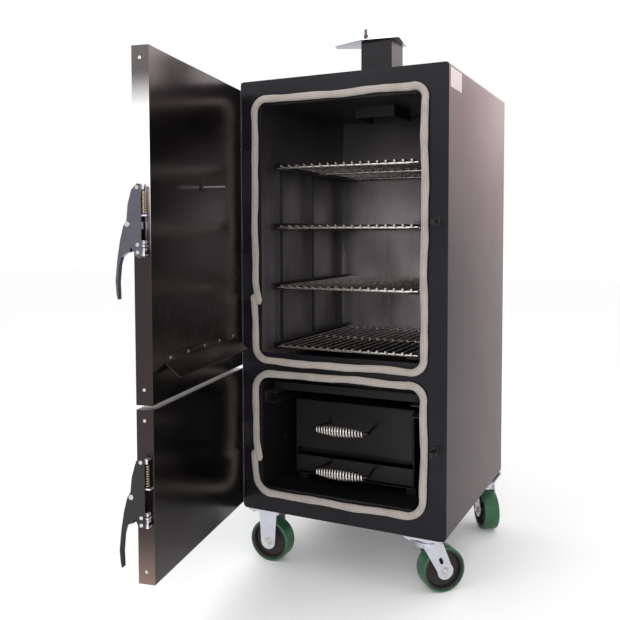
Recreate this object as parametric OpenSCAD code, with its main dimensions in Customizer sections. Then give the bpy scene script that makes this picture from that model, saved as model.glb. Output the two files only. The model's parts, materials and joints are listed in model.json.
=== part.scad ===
// Free-standing cabinet smoker: an insulated steel body on casters, with two
// hinged doors, sliding racks, a drip pan, a firebox with two drawers and a square stack.
// Heights are measured from the underside of the body, and the floor is caster_h below it.

/* [Body] */
// Width across the front
body_w = 635; // [600:5:660]
// Depth from front to back
body_d = 677; // [640:1:720]
// Height of the body without casters and stack
body_h = 1282; // [1275:1:1300]
// Thickness of the insulated side walls
wall_t = 68; // [60:1:70]
// Thickness of the insulated back wall
back_t = 75; // [60:1:80]
// Thickness of the sheet steel of shell and liner
sheet = 2; // [1.5:0.5:3]
// Thickness of the front frame plate
frame_t = 3; // [2:0.5:5]
// Bend radius of the long top edges
top_edge_r = 9; // [6:1:13]
// Bend radius of the long bottom edges
bottom_edge_r = 13; // [9:1:16]
// Height of the chamber ceiling
ceiling_z = 1231; // [1220:1:1240]
// Height of the chamber floor
floor_z = 72; // [66:1:74]

/* [Door openings] */
// Lower edge of the cooking chamber's opening
upper_open_z0 = 481; // [475:1:483]
// Upper edge of the cooking chamber's opening
upper_open_z1 = 1207; // [1200:1:1210]
// Lower edge of the firebox compartment's opening
lower_open_z0 = 76; // [75:1:82]
// Upper edge of the firebox compartment's opening
lower_open_z1 = 405; // [400:1:410]
// Width of the rope gasket
gasket_w = 22; // [16:1:24]
// Height of the rope gasket above the frame
gasket_t = 13.5; // [10:0.5:14]

/* [Doors] */
// Opening angle of both doors as drawn
door_open = 79.5; // [0:0.5:160]
// Width of a door
door_w = 571; // [565:1:575]
// Thickness of a door
door_t = 42; // [38:1:48]
// Left edge of a closed door
door_x = 21; // [19:0.5:22]
// Gap between the frame and a closed door's inner face
door_gap = 15; // [14.5:0.5:16]
// Lower edge and height of the upper door
upper_door_z = 443; // [440:1:445]
// Height of the upper door
upper_door_h = 810; // [800:1:820]
// Lower edge of the lower door
lower_door_z = 27; // [15:1:30]
// Height of the lower door
lower_door_h = 406; // [400:1:413]

/* [Hinges and latches] */
// Height of one hinge
hinge_h = 150; // [120:5:156]
// Radius of the hinge knuckles
knuckle_r = 6; // [5:0.5:6]
// Radius of the hinge and latch pins
pin_r = 3; // [2.5:0.5:3.5]
// Radial running clearance on pins, axles and bolts
running = 0.06; // [0.02:0.01:0.1]
// Middle height of the upper latch
upper_latch_z = 864; // [800:1:900]
// Middle height of the lower latch
lower_latch_z = 247; // [200:1:260]
// Width of a latch across its two cheeks
latch_w = 24; // [22:1:26]

/* [Racks and pan] */
// Height of the lowest rack's rods
rack_z0 = 499; // [498:1:503]
// Spacing from rack to rack
rack_step = 178.5; // [150:0.5:180]
// Length of a rack from front to back
rack_l = 555; // [500:5:560]
// Width of a rack
rack_w = 440; // [430:5:446]
// Spacing of the rods in a rack
rod_step = 25.4; // [20:0.1:26]
// Height of the drip pan's underside
pan_z = 360.5; // [360:0.5:362]
// Depth of the drip pan
pan_h = 23; // [15:1:30]

/* [Firebox] */
// Left side of the firebox
firebox_x0 = 127; // [120:1:135]
// Width of the firebox
firebox_w = 381; // [370:1:390]
// Front of the firebox
firebox_y = 107; // [105:1:115]
// Depth of the firebox
firebox_d = 455; // [420:5:470]
// Underside of the firebox
firebox_z0 = 94; // [90:1:95]
// Top of the firebox
firebox_z1 = 325; // [320:1:326]
// Distance from drawer front to the middle of its grip
handle_reach = 97; // [80:1:100]

/* [Stack and air inlet] */
// Outer width of the square stack
stack_w = 102; // [90:1:110]
// Height of the stack above the roof
stack_h = 154; // [100:1:200]
// Distance of the stack's middle from the front
stack_y = 343; // [300:1:360]
// Angle of the cap plate as drawn
cap_turn = 8; // [0:1:100]
// Radius of the round air inlet
inlet_r = 20; // [15:1:22]

/* [Casters] */
// Height from the floor to the body
caster_h = 168; // [165:1:175]
// Diameter of a wheel
wheel_d = 127; // [120:1:127]
// Width of a wheel's tread
wheel_w = 51; // [40:1:51]
// Trail of the swivel casters
trail = 38; // [25:1:40]
// Direction that the front swivel caster trails
front_swivel = 43; // [0:1:359]
// Direction that the rear swivel caster trails
rear_swivel = -58; // [-180:1:180]

/* [Hidden] */
$fn = 48;

// body
open_x0 = wall_t;
open_x1 = body_w - wall_t;
liner_y1 = body_d - back_t;
open_r = 8;
slab_gap = 1;
mid_x = body_w / 2;

// gaskets: middle lines of the two ropes
gasket_x0 = 51;
gasket_x1 = 572;
upper_rope_z = [456, 1224];
lower_rope_z = [58, 420];
upper_rope_r = 40;
lower_rope_r = 50;

// doors and their hinges
hinge_x = 12;
hinge_y = -18;
hinge_leaf_t = 2.4;
upper_hinges = [560, 846, 1159];
lower_hinges = [112, 340];
door_y0 = -door_gap - door_t;
door_x1 = door_x + door_w;
door_skin_t = 1.5;
door_liner_t = 2;

// latches: t runs outwards from a closed door's inner face
cheek_t = 2;
pivot_t = 44;
pivot_dz = -9;
latch_x0 = door_x1 + 0.2;
latch_x1 = latch_x0 + latch_w;
handle_gap = 3;
rivet_r = 2.5;
rivet_dz = [[19.5, 72], [19.5, -55], [19.5, -72]];
handle_out = 79;

// thermometer
gauge_x = 306;
gauge_z = 954;
gauge_r = 38;
gauge_t = 20;
stem_r = 3;
stem_in = 63;
needle_pin_r = 1;

// rails, racks and pan
rod_r = 3;
cross_r = 4;
rods = 17;
rack_y = 38;
rail_x = open_x0 + 18;
rail_t = 2;
rail_y = 32;
rail_h = 22;
rack_drop = 11;
pan_w = 480;
pan_y = 59;
pan_l = 531;
pan_rail_y = 17;

// firebox and drawers
drawer_x0 = firebox_x0 + 4;
drawer_w = firebox_w - 8;
drawer_l = 430;
fuel_front = [178, 322];
ash_front = [103, 153];
fuel_grip_z = 266;
ash_grip_z = 141;
grip_x = 317.5;
handle_span = 166;
handle_r = 5;
grip_r = [9, 19];

// stack, cap and inlet
stack_x0 = mid_x - stack_w / 2;
stack_y0 = stack_y - stack_w / 2;
stack_t = 3;
stack_top = body_h + stack_h;
cap_pivot = [stack_x0 + 11, stack_y0 + 10.5];
cap_t = 2.5;
cap_z = stack_top + 0.5;
bolt_r = 4;
inlet = [137, 192];
inlet_pivot = inlet + [0, 34];

// casters
left_casters = [[70, 57], [70, 620]];
front_pivot = [568, 55];
rear_pivot = [586, 620];
axle_z = wheel_d / 2 - caster_h;
axle_r = 6;
leg_w = 48;
leg_t = 4;
slot_r = 5;
fork_gap = wheel_w / 2 + 2;
plate_t = 6;
race_r = 36;
king_r = 8;
core_r = 57;

function turned(p, a) = [p[0] * cos(a) - p[1] * sin(a), p[0] * sin(a) + p[1] * cos(a)];
door_tip = turned([latch_x1 - hinge_x, -door_gap - handle_out - hinge_y], -door_open);
origin = [mid_x, (body_d + hinge_y + door_tip[1]) / 2, -caster_h];

module place() {
    translate(-origin) children();
}

module on_door() {
    place() translate([hinge_x, hinge_y, 0]) rotate([0, 0, -door_open])
        translate([-hinge_x, -hinge_y, 0]) children();
}

// a box from its lowest to its highest corner
module block(low, high) {
    translate(low) cube(high - low);
}

// a flat outline in X and Z, given a thickness from y0 to y1
module upright(y0, y1) {
    translate([0, y1, 0]) rotate([90, 0, 0]) linear_extrude(y1 - y0) children();
}

// an outline in Y and Z, given a width from x0 to x1
module sideways(x0, x1) {
    translate([x0, 0, 0]) rotate([90, 0, 90]) linear_extrude(x1 - x0) children();
}

module rounded(x0, z0, x1, z1, r_low, r_high) {
    translate([x0, z0 + r_low]) square([x1 - x0, z1 - z0 - r_low - r_high]);
    translate([x0 + r_low, z0]) square([x1 - x0 - 2 * r_low, r_low + 1]);
    translate([x0 + r_high, z1 - r_high - 1]) square([x1 - x0 - 2 * r_high, r_high + 1]);
    for (x = [x0 + r_low, x1 - r_low]) translate([x, z0 + r_low]) circle(r_low);
    for (x = [x0 + r_high, x1 - r_high]) translate([x, z1 - r_high]) circle(r_high);
}

module rod_x(x0, x1, y, z, r) {
    translate([x0, y, z]) rotate([0, 90, 0]) cylinder(h = x1 - x0, r = r);
}

module rod_y(x, y0, y1, z, r) {
    translate([x, y0, z]) rotate([-90, 0, 0]) cylinder(h = y1 - y0, r = r);
}

module rod_z(x, y, z0, z1, r) {
    translate([x, y, z0]) cylinder(h = z1 - z0, r = r);
}

module hex_nut(across, h) {
    cylinder(h = h, r = across / sqrt(3), $fn = 6);
}

// ---- body ----

module body_outline(inset) {
    rounded(inset, inset, body_w - inset, body_h - inset,
        bottom_edge_r - inset, top_edge_r - inset);
}

module outer_shell() {
    color("#38363b") place() difference() {
        upright(frame_t, body_d - sheet) body_outline(0);
        upright(frame_t - 1, body_d) body_outline(sheet);
        block([stack_x0, stack_y0, body_h - 2 * sheet],
            [stack_x0 + stack_w, stack_y0 + stack_w, body_h + 1]);
        rod_x(-1, sheet + 1, inlet[0], inlet[1], inlet_r);
        rod_x(-1, sheet + 1, inlet_pivot[0], inlet_pivot[1], bolt_r);
    }
}

module back_panel() {
    color("#38363b") place() upright(body_d - sheet, body_d) body_outline(0);
}

module front_frame() {
    color("#302e33") place() upright(0, frame_t) difference() {
        body_outline(0);
        rounded(open_x0, upper_open_z0, open_x1, upper_open_z1, open_r, open_r);
        rounded(open_x0, lower_open_z0, open_x1, lower_open_z1, open_r, open_r);
    }
}

module chamber_liner() {
    color("#2a2829") place() difference() {
        union() {
            block([open_x0 - sheet, frame_t, floor_z - sheet],
                [open_x1 + sheet, liner_y1 + sheet, ceiling_z + sheet]);
            rod_x(sheet, open_x0, inlet[0], inlet[1], inlet_r + sheet);
        }
        block([open_x0, frame_t - 1, floor_z], [open_x1, liner_y1, ceiling_z]);
        block([stack_x0, stack_y0, ceiling_z - 1],
            [stack_x0 + stack_w, stack_y0 + stack_w, ceiling_z + 2 * sheet]);
        rod_x(0, open_x0 + 1, inlet[0], inlet[1], inlet_r);
    }
}

module insulation() {
    x = [sheet + slab_gap, open_x0 - sheet - slab_gap,
        open_x1 + sheet + slab_gap, body_w - sheet - slab_gap];
    y = [frame_t + slab_gap, liner_y1 + sheet + slab_gap, body_d - sheet - slab_gap];
    z = [sheet + slab_gap, floor_z - sheet - slab_gap,
        ceiling_z + sheet + slab_gap, body_h - sheet - slab_gap];
    color("#d9d2c0") place() {
        difference() {
            block([x[0], y[0], bottom_edge_r], [x[1], y[2], body_h - top_edge_r]);
            rod_x(0, open_x0, inlet[0], inlet[1], inlet_r + sheet + slab_gap);
        }
        block([x[2], y[0], bottom_edge_r], [x[3], y[2], body_h - top_edge_r]);
        block([x[1] + slab_gap, y[1], z[1] + slab_gap], [x[2] - slab_gap, y[2], z[2] - slab_gap]);
        block([x[1] + slab_gap, y[0], z[0]], [x[2] - slab_gap, y[2], z[1]]);
        difference() {
            block([x[1] + slab_gap, y[0], z[2]], [x[2] - slab_gap, y[2], z[3]]);
            block([stack_x0 - slab_gap, stack_y0 - slab_gap, z[2] - 1],
                [stack_x0 + stack_w + slab_gap, stack_y0 + stack_w + slab_gap, z[3] + 1]);
        }
    }
}

module rope_ring(z, r) {
    half = gasket_w / 2;
    upright(-gasket_t, 0) difference() {
        rounded(gasket_x0 - half, z[0] - half, gasket_x1 + half, z[1] + half, r + half, r + half);
        rounded(gasket_x0 + half, z[0] + half, gasket_x1 - half, z[1] - half, r - half, r - half);
    }
}

module door_gaskets() {
    color("#b5ada5") place() {
        rope_ring(upper_rope_z, upper_rope_r);
        rope_ring(lower_rope_z, lower_rope_r);
    }
}

// ---- stack, cap and air inlet ----

module stack() {
    lug = 22;
    color("#2b292e") place() {
        difference() {
            block([stack_x0, stack_y0, ceiling_z], [stack_x0 + stack_w, stack_y0 + stack_w, stack_top]);
            block([stack_x0 + stack_t, stack_y0 + stack_t, ceiling_z - 1],
                [stack_x0 + stack_w - stack_t, stack_y0 + stack_w - stack_t, stack_top + 1]);
        }
        difference() {
            block([stack_x0 + 1, stack_y0 + 1, stack_top - 5], [stack_x0 + lug, stack_y0 + lug, stack_top]);
            rod_z(cap_pivot[0], cap_pivot[1], stack_top - 6, stack_top + 1, bolt_r);
        }
    }
}

module flue_collar() {
    low = [mid_x - 65.5, 276, 1196];
    high = [mid_x + 65.5, 429, ceiling_z];
    color("#232124") place() difference() {
        block(low, high);
        block(low + [sheet, sheet, -1], high + [-sheet, -sheet, 1]);
    }
}

module damper_cap() {
    plate = [[-13, -32], [113, -32], [113, 98], [24, 98], [-40, 80], [-111, 56], [-108, 22]];
    fin_r = 68;
    fin_drop = 20;
    color("#dcd8e0") place() translate([cap_pivot[0], cap_pivot[1], cap_z]) rotate([0, 0, cap_turn]) {
        difference() {
            linear_extrude(cap_t) polygon(plate);
            translate([0, 0, -1]) cylinder(h = cap_t + 2, r = bolt_r + running);
        }
        intersection() {
            translate([-50, 54, -fin_drop]) rotate([90, 0, 0]) cylinder(h = 2, r = fin_r);
            block([-120, 40, cap_t / 2], [20, 60, fin_r]);
        }
    }
}

module damper_bolts() {
    nut_z = cap_z + 15;
    color("#7f7b80") place() {
        translate([cap_pivot[0], cap_pivot[1], 0]) {
            translate([0, 0, stack_top - 11]) hex_nut(13, 6);
            translate([0, 0, stack_top - 6]) cylinder(h = 46, r = bolt_r);
            translate([0, 0, cap_z + cap_t + 0.4]) cylinder(h = 13, r = 5.5);
            translate([0, 0, nut_z]) hex_nut(13, 7);
        }
        rod_x(-8, sheet, inlet_pivot[0], inlet_pivot[1], bolt_r);
        translate([-10, inlet_pivot[0], inlet_pivot[1]]) rotate([0, 90, 0]) hex_nut(13, 6);
    }
}

module air_damper() {
    disc_r = 27;
    color("#8a878b") place() difference() {
        union() {
            rod_x(-3, -0.5, inlet[0], inlet[1], disc_r);
            block([-3, inlet[0] - 11, inlet[1]], [-0.5, inlet[0] + 11, inlet_pivot[1]]);
            rod_x(-3, -0.5, inlet_pivot[0], inlet_pivot[1], 11);
            block([-3, inlet[0] - 8, inlet[1] - disc_r - 18], [-0.5, inlet[0] + 8, inlet[1] - disc_r + 6]);
            block([-16, inlet[0] - 8, inlet[1] - disc_r - 18], [-0.5, inlet[0] + 8, inlet[1] - disc_r - 16]);
        }
        rod_x(-4, 1, inlet_pivot[0], inlet_pivot[1], bolt_r + running);
    }
}

// ---- rails, racks and pan ----

module channel(x0, z0, h, bottom_w, top_w, y0, y1) {
    block([x0, y0, z0], [x0 + rail_t, y1, z0 + h]);
    block([x0, y0, z0], [x0 + bottom_w, y1, z0 + rail_t]);
    block([x0, y0, z0 + h - rail_t], [x0 + top_w, y1, z0 + h]);
}

module rails_one_side() {
    rail_end = 596;
    for (y = [80, 300, 530])
        block([open_x0, y, rack_z0 - 16], [rail_x + 0.5, y + 19, rack_z0 + 3 * rack_step + 12]);
    for (i = [0 : 3])
        channel(rail_x, rack_z0 + i * rack_step - rack_drop - rail_t, rail_h, 40, 18, rail_y, rail_end);
    channel(open_x0, 327, 33, 40, 40, pan_rail_y, rail_end);
}

module shelf_rails() {
    color("#2c2a2c") place() {
        rails_one_side();
        translate([body_w, 0, 0]) mirror([1, 0, 0]) rails_one_side();
    }
}

module rack(i) {
    z = rack_z0 + i * rack_step;
    first = mid_x - (rods - 1) / 2 * rod_step;
    color("#b9b6b2") place() {
        for (n = [0 : rods - 1]) rod_y(first + n * rod_step, rack_y, rack_y + rack_l, z, rod_r);
        for (y = [12, rack_l / 2, rack_l - 12])
            rod_x(mid_x - rack_w / 2, mid_x + rack_w / 2, rack_y + y, z - rod_r - cross_r + 0.5, cross_r);
    }
}

module drip_pan() {
    low = [mid_x - pan_w / 2, pan_y, pan_z];
    high = low + [pan_w, pan_l, pan_h];
    color("#3a3735") place() difference() {
        block(low, high);
        block(low + [sheet, sheet, sheet], high + [-sheet, -sheet, 1]);
    }
}

// ---- firebox and drawers ----

module firebox() {
    x1 = firebox_x0 + firebox_w;
    y1 = firebox_y + firebox_d;
    t = 3;
    color("#242223") place() {
        difference() {
            block([firebox_x0, firebox_y + 1, firebox_z0], [x1, y1, firebox_z1]);
            block([firebox_x0 + t, firebox_y - 1, firebox_z0 + t], [x1 - t, y1 - t, firebox_z1 - t]);
            block([firebox_x0 + 50, firebox_y + 70, firebox_z1 - t - 1], [x1 - 50, y1 - 60, firebox_z1 + 1]);
        }
        block([firebox_x0 + 1, firebox_y + 31, ash_front[1] + 1.5], [x1 - 1, firebox_y + 34, fuel_front[0] - 1.5]);
        for (x = [firebox_x0 + t - 1, x1 - t - 5])
            block([x, firebox_y + 3, fuel_front[0] - 4], [x + 6, y1 - 1, fuel_front[0] - 1]);
        for (x = [firebox_x0, x1 - 30], y = [firebox_y + 20, y1 - 50])
            block([x, y, floor_z], [x + 30, y + 30, firebox_z0 + 1]);
    }
}

module drawer(front, tray_h) {
    t = 2;
    low = [drawer_x0 + 3, firebox_y + 2, front[0] + 1];
    high = [drawer_x0 + drawer_w - 3, firebox_y + drawer_l, front[0] + tray_h];
    block([drawer_x0, firebox_y, front[0]], [drawer_x0 + drawer_w, firebox_y + 3, front[1]]);
    difference() {
        block(low, high);
        block(low + [t, t, t], high + [-t, -t, 1]);
    }
}

module fuel_drawer() {
    slots = 9;
    pitch = 36;
    color("#2a2727") place() difference() {
        drawer(fuel_front, 120);
        for (n = [0 : slots - 1])
            translate([mid_x + (n - (slots - 1) / 2) * pitch - 6, firebox_y + 60, fuel_front[0] - 1])
                cube([12, drawer_l - 120, 8]);
    }
}

module ash_drawer() {
    color("#2a2727") place() drawer(ash_front, 42);
}

module drawer_handle(z) {
    bar_y = firebox_y - handle_reach;
    color("#1d1b1c") place() {
        for (x = [grip_x - handle_span / 2, grip_x + handle_span / 2]) {
            rod_y(x, bar_y, firebox_y, z, handle_r);
            rod_y(x, firebox_y - 3, firebox_y, z, 10);
            translate([x, bar_y, z]) sphere(handle_r);
        }
        rod_x(grip_x - handle_span / 2, grip_x + handle_span / 2, bar_y, z, handle_r);
    }
}

module drawer_grip(z) {
    half = handle_span / 2 - handle_r - 1;
    steps = 12;
    hole = handle_r + running;
    swell = [for (n = [0 : steps]) let (u = n / steps * 2 - 1)
        [grip_r[0] + (grip_r[1] - grip_r[0]) * cos(90 * u), u * half]];
    color("#c9c6c2") place() translate([grip_x, firebox_y - handle_reach, z]) rotate([0, 90, 0])
        rotate_extrude() polygon(concat([[hole, half], [hole, -half]], swell));
}

// ---- doors ----

module door_skin(z0, h, gauge) {
    low = [door_x, door_y0, z0];
    high = [door_x1, -door_gap, z0 + h];
    color("#b4b0ae") on_door() difference() {
        block(low, high);
        block(low + [door_skin_t, door_skin_t, door_skin_t], high + [-door_skin_t, 1, -door_skin_t]);
        if (gauge) rod_y(gauge_x, door_y0 - 1, door_y0 + 5, gauge_z, stem_r + 1);
    }
}

module door_liner(z0, h, gauge) {
    color("#2c2a2a") on_door() difference() {
        block([door_x + door_skin_t, -door_gap - door_liner_t, z0 + door_skin_t],
            [door_x1 - door_skin_t, -door_gap, z0 + h - door_skin_t]);
        if (gauge) rod_y(gauge_x, -door_gap - door_liner_t - 1, -door_gap + 1, gauge_z, stem_r + 1);
    }
}

module door_core(z0, h, gauge) {
    low = [door_x, door_y0, z0] + [1, 1, 1] * (door_skin_t + slab_gap / 2);
    high = [door_x1, -door_gap - door_liner_t, z0 + h] - [door_skin_t, 0, door_skin_t] - [1, 1, 1] * slab_gap / 2;
    color("#d9d2c0") on_door() difference() {
        block(low, high);
        if (gauge) rod_y(gauge_x, door_y0, -door_gap, gauge_z, stem_r + 2);
    }
}

module upper_door_skin() { door_skin(upper_door_z, upper_door_h, true); }
module upper_door_liner() { door_liner(upper_door_z, upper_door_h, true); }
module upper_door_core() { door_core(upper_door_z, upper_door_h, true); }
module lower_door_skin() { door_skin(lower_door_z, lower_door_h, false); }
module lower_door_liner() { door_liner(lower_door_z, lower_door_h, false); }
module lower_door_core() { door_core(lower_door_z, lower_door_h, false); }

module drip_deflector() {
    flange_z = 529;
    lip = [24, 500];
    t = 2;
    color("#c8c4c0") on_door() sideways(80, 530) polygon([
        [-door_gap, flange_z + 20], [-door_gap, flange_z], lip + [0, -t], lip,
        [t - door_gap, flange_z + t], [t - door_gap, flange_z + 20]]);
}

// ---- hinges ----

// the middle knuckle turns on the pin, and the end knuckles hold it
module cabinet_hinge_leaves() {
    end_h = hinge_h / 3;
    color("#3b393d") place() for (z = concat(upper_hinges, lower_hinges)) {
        block([4, -3, z - hinge_h / 2], [25, 0, z + hinge_h / 2]);
        for (low = [z - hinge_h / 2, z + hinge_h / 2 - end_h]) difference() {
            union() {
                rod_z(hinge_x, hinge_y, low, low + end_h, knuckle_r);
                block([hinge_x - 3, hinge_y, low], [hinge_x + 3, -1, low + end_h]);
            }
            rod_z(hinge_x, hinge_y, low - 1, low + end_h + 1, pin_r);
        }
    }
}

module door_hinge_leaves(heights) {
    mid_h = hinge_h / 3 - 1;
    leaf_x = door_x - hinge_leaf_t;
    color("#4a484c") on_door() for (z = heights) difference() {
        union() {
            block([leaf_x, hinge_y - 36, z - hinge_h / 2], [door_x, hinge_y, z + hinge_h / 2]);
            rod_z(hinge_x, hinge_y, z - mid_h / 2, z + mid_h / 2, knuckle_r);
            block([hinge_x, hinge_y - knuckle_r, z - mid_h / 2], [leaf_x + 1, hinge_y, z + mid_h / 2]);
        }
        rod_z(hinge_x, hinge_y, z - mid_h, z + mid_h, pin_r + running);
    }
}

module upper_hinge_leaves() { door_hinge_leaves(upper_hinges); }
module lower_hinge_leaves() { door_hinge_leaves(lower_hinges); }

module hinge_pins() {
    color("#9b989c") place() for (z = concat(upper_hinges, lower_hinges)) {
        rod_z(hinge_x, hinge_y, z - hinge_h / 2 - 2, z + hinge_h / 2, pin_r);
        rod_z(hinge_x, hinge_y, z + hinge_h / 2, z + hinge_h / 2 + 3, pin_r + 2);
    }
}

// ---- latches ----

// outline points as t and height above the latch's middle, drawn in Y and Z
function latch_points(points, zc) = [for (p = points) [-door_gap - p[0], zc + p[1]]];

module latch_body(zc) {
    cheek = [[11, -83], [11, 80], [20, 81], [34, 67], [43, 36], [47, -3], [50, -10], [48, -40],
        [30, -70], [27, -80], [15, -85]];
    color("#55525c") on_door() {
        difference() {
            union() {
                for (x = [latch_x0, latch_x1 - cheek_t])
                    sideways(x, x + cheek_t) polygon(latch_points(cheek, zc));
                block([latch_x0, -door_gap - 33, zc + 20], [latch_x1, -door_gap - 31, zc + 66]);
                block([latch_x0, -door_gap - 26, zc - 79], [latch_x1, -door_gap - 23, zc - 56]);
                block([latch_x0 - 52, -door_gap - door_t - 3, zc - 60],
                    [latch_x0 + 1, -door_gap - door_t, zc + 66]);
            }
            rod_x(latch_x0 - 1, latch_x1 + 1, -door_gap - pivot_t, zc + pivot_dz, pin_r);
            for (p = rivet_dz)
                rod_x(latch_x0 - 1, latch_x1 + 1, -door_gap - p[0], zc + p[1], rivet_r);
        }
    }
}

// the trigger handle hangs outside, and its claw reaches in under the strike
module latch_handle(zc) {
    lever = [[36, 1], [48, 2], [58, -14], [66, -44], [74, -90], [79, -137], [77, -165], [74, -179],
        [72, -178], [72, -165], [73, -142], [69, -101], [63, -82], [54, -75], [42, -71], [38, -55], [36, -20]];
    claw = [[14, -4], [14, -20], [40, -20], [40, -12], [36, -11], [21, -11], [21, -4]];
    x0 = latch_x0 + cheek_t + handle_gap;
    x1 = latch_x1 - cheek_t - handle_gap;
    color("#8f8d99") on_door() difference() {
        union() {
            sideways(x0, x1) polygon(latch_points(lever, zc));
            sideways(x0 + 2, x1 - 2) polygon(latch_points(claw, zc));
        }
        rod_x(x0 - 1, x1 + 1, -door_gap - pivot_t, zc + pivot_dz, pin_r + running);
    }
}

module latch_strikes() {
    color("#1f1d1f") place() for (zc = [upper_latch_z, lower_latch_z]) {
        block([597, -3, zc - 12], [613, 0, zc + 12]);
        block([599, -44, zc - 2], [609, -1, zc + 6]);
        block([599, -44, zc - 8], [609, -38, zc + 6]);
    }
}

module door_fasteners(zc, screws, z_deflector) {
    color("#d8d0c8") on_door() {
        for (p = rivet_dz) {
            rod_x(latch_x0, latch_x1, -door_gap - p[0], zc + p[1], rivet_r);
            rod_x(latch_x1, latch_x1 + 2, -door_gap - p[0], zc + p[1], rivet_r + 2);
        }
        rod_x(latch_x0, latch_x1, -door_gap - pivot_t, zc + pivot_dz, pin_r);
        rod_x(latch_x1, latch_x1 + 3, -door_gap - pivot_t, zc + pivot_dz, pin_r + 3);
        for (z = screws) rod_x(door_x1, door_x1 + 1.5, -door_gap - door_t / 2, z, 4);
        for (z = z_deflector, n = [0 : 4]) rod_y(105 + n * 100, 2 - door_gap, 3.5 - door_gap, z, 4);
        for (z = [zc - 50, zc + 55], x = [latch_x0 - 42, latch_x0 - 14])
            rod_y(x, door_y0 - 5, door_y0 - 3, z, 4.5);
    }
}

module upper_latch_body() { latch_body(upper_latch_z); }
module lower_latch_body() { latch_body(lower_latch_z); }
module upper_latch_handle() { latch_handle(upper_latch_z); }
module lower_latch_handle() { latch_handle(lower_latch_z); }
module upper_door_fasteners() {
    door_fasteners(upper_latch_z, [upper_door_z + 36, upper_door_z + upper_door_h - 28], [541]);
}
module lower_door_fasteners() {
    door_fasteners(lower_latch_z, [lower_door_z + 30, lower_door_z + lower_door_h - 25], []);
}

// ---- thermometer ----

module thermometer() {
    bowl = [[0, 0], [gauge_r, 0], [gauge_r, gauge_t], [gauge_r - 4, gauge_t], [gauge_r - 4, 6], [0, 6]];
    color("#c6c3c1") on_door() {
        translate([gauge_x, door_y0, gauge_z]) rotate([90, 0, 0]) rotate_extrude() polygon(bowl);
        rod_y(gauge_x, door_y0 - 14, door_y0 - 5, gauge_z, needle_pin_r);
        rod_y(gauge_x, door_y0 - 1, -door_gap + stem_in, gauge_z, stem_r);
        rod_y(gauge_x, -door_gap, -door_gap + 4, gauge_z, 9);
    }
}

module thermometer_needle() {
    color("#b02020") on_door() translate([gauge_x, door_y0 - 9, gauge_z]) rotate([90, 0, 0])
        rotate([0, 0, 135]) difference() {
            union() {
                cylinder(h = 1, r = 4);
                linear_extrude(1) polygon([[-8, -2], [-8, 2], [28, 0.5], [28, -0.5]]);
            }
            translate([0, 0, -1]) cylinder(h = 3, r = needle_pin_r + running);
        }
}

// ---- casters ----

module at_wheel(pos, turn, offset) {
    place() translate([pos[0], pos[1], 0]) rotate([0, 0, turn]) translate([offset, 0, 0]) children();
}

module fork_leg(top_z, top_w, offset) {
    rotate([90, 0, 0]) linear_extrude(leg_t, center = true) {
        polygon([[-offset - top_w / 2, top_z], [-offset + top_w / 2, top_z],
            [leg_w / 2, axle_z], [-leg_w / 2, axle_z]]);
        translate([0, axle_z]) circle(leg_w / 2);
    }
}

module fork_legs(top_z, top_w, offset) {
    difference() {
        for (s = [-1, 1]) translate([0, s * (fork_gap + leg_t / 2), 0]) fork_leg(top_z, top_w, offset);
        rod_y(0, -60, 60, axle_z, axle_r);
    }
}

module mounting_plate() {
    block([-51, -57, -plate_t], [51, 57, 0]);
}

module plate_bolt_holes() {
    for (x = [-40, 40], y = [-46, 46]) rod_z(x, y, -plate_t - 1, 1, bolt_r);
}

module rigid_forks() {
    color("#b9bcc5") for (p = left_casters) at_wheel(p, 0, 0) {
        difference() {
            mounting_plate();
            plate_bolt_holes();
        }
        fork_legs(-plate_t + 1, 60, 0);
    }
}

module swivel_plates() {
    color("#b9bcc5") for (p = [front_pivot, rear_pivot]) at_wheel(p, 0, 0) {
        difference() {
            mounting_plate();
            plate_bolt_holes();
        }
        rod_z(0, 0, -19, -plate_t, race_r);
        rod_z(0, 0, -36, -18, king_r);
        rod_z(0, 0, -38, -34.5, king_r + 5);
    }
}

module caster_bolts() {
    color("#8f8c90") for (p = concat(left_casters, [front_pivot, rear_pivot]), x = [-40, 40], y = [-46, 46])
        at_wheel(p, 0, 0) translate([x, y, -plate_t]) {
            cylinder(h = plate_t, r = bolt_r);
            translate([0, 0, -5.5]) hex_nut(13, 5.5);
        }
}

module swivel_fork(pos, turn) {
    color("#b9bcc5") at_wheel(pos, turn, trail) {
        difference() {
            translate([-trail, 0, -34]) cylinder(h = 14.5, r = race_r + 4);
            translate([-trail, 0, -40]) cylinder(h = 30, r = king_r + running);
        }
        difference() {
            fork_legs(-26, 62, trail);
            translate([-trail, 0, -34]) cylinder(h = 14.5, r = race_r - 8);
            hull() for (up = [26, 35]) translate([-up * trail / (trail + 50), 0, up])
                rod_y(0, -60, 60, axle_z, slot_r);
        }
    }
}

module wheel_axle() {
    reach = fork_gap + leg_t;
    color("#a7a4a8") {
        rod_y(0, -reach - 9, reach, axle_z, axle_r);
        translate([0, reach, axle_z]) rotate([-90, 0, 0]) hex_nut(19, 8);
        translate([0, -reach, axle_z]) rotate([90, 0, 0]) hex_nut(19, 6);
    }
}

// a dished disc between hub and rim, turned about the axle
module wheel_core() {
    half = wheel_w / 2 - 1;
    hole = axle_r + running;
    rim = core_r - 6;
    color("#2a2325") translate([0, 0, axle_z]) rotate([90, 0, 0]) rotate_extrude() polygon([
        [hole, -half - 1], [16, -half - 1], [18, -10], [24, -5], [rim - 4, -5], [rim, -10], [rim, -half],
        [core_r, -half], [core_r, half], [rim, half], [rim, 10], [rim - 4, 5], [24, 5], [18, 10],
        [16, half + 1], [hole, half + 1]]);
}

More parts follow.
